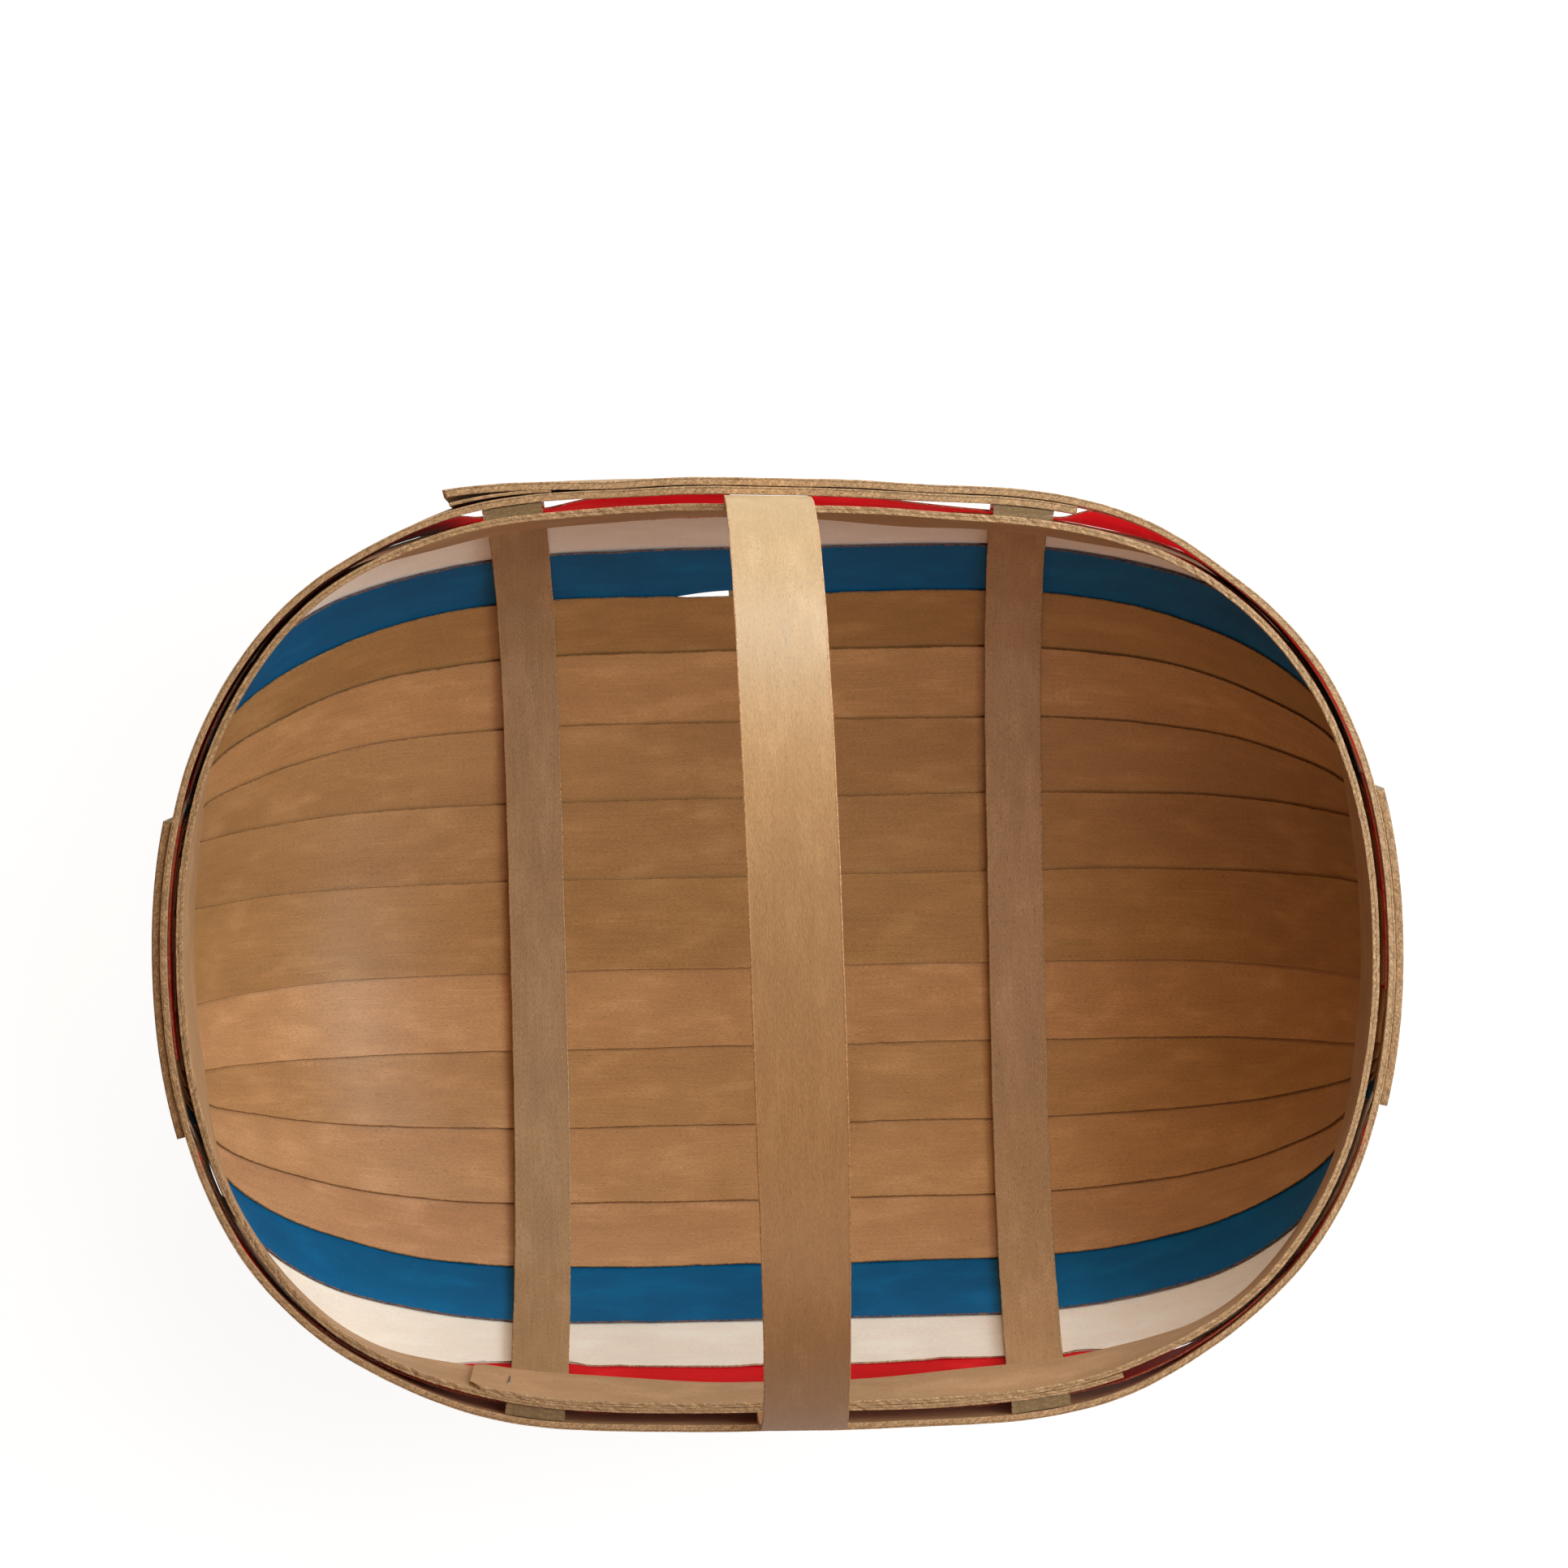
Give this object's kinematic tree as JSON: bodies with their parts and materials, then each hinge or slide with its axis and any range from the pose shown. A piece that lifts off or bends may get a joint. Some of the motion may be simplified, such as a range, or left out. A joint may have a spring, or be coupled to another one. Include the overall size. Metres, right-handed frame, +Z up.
{
  "type": "trug basket",
  "caption": "Oval boat-shaped trug of thin lengthwise slats in bent rim hoops, with cross ribs and a broad bent handle over the middle.",
  "frame": {"origin": "on the ground under the middle of the basket", "axes": "+X along the basket, +Y across it towards its back, +Z up towards the handle"},
  "size_m": [0.4462, 0.3435, 0.282],
  "materials": {
    "bent_wood": "rough sawn, bare",
    "handle_wood": "planed, bare",
    "brown_veneer": "thin veneer, brown stain",
    "blue_veneer": "thin veneer, blue stain",
    "pale_veneer": "thin veneer, pale stain",
    "red_veneer": "thin veneer, red stain",
    "staple_steel": "drawn wire"
  },
  "bodies": {
    "root": {"slat_center": "brown_veneer", "slat_brown_1_front": "brown_veneer", "slat_brown_2_front": "brown_veneer", "slat_brown_3_front": "brown_veneer", "slat_brown_4_front": "brown_veneer", "slat_blue_front": "blue_veneer", "slat_white_front": "pale_veneer", "slat_red_front": "red_veneer", "slat_brown_1_back": "brown_veneer", "slat_brown_2_back": "brown_veneer", "slat_brown_3_back": "brown_veneer", "slat_brown_4_back": "brown_veneer", "slat_blue_back": "blue_veneer", "slat_white_back": "pale_veneer", "slat_red_back": "red_veneer", "inner_rib_left": "bent_wood", "outer_rib_left": "bent_wood", "inner_rib_right": "bent_wood", "outer_rib_right": "bent_wood", "handle": "handle_wood", "outer_rim_hoop": "bent_wood", "inner_rim_hoop": "bent_wood", "end_cleat_left": "bent_wood", "end_cleat_right": "bent_wood", "staple_rib_left_front": "staple_steel", "staple_rib_left_back": "staple_steel", "staple_rib_right_front": "staple_steel", "staple_rib_right_back": "staple_steel", "staple_handle_left_front": "staple_steel", "staple_handle_left_back": "staple_steel", "staple_handle_right_front": "staple_steel", "staple_handle_right_back": "staple_steel", "staple_cleat_left_front": "staple_steel", "staple_cleat_left_back": "staple_steel", "staple_cleat_right_front": "staple_steel", "staple_cleat_right_back": "staple_steel", "staple_outer_lap": "staple_steel", "staple_inner_lap": "staple_steel"}
  },
  "joints": []
}
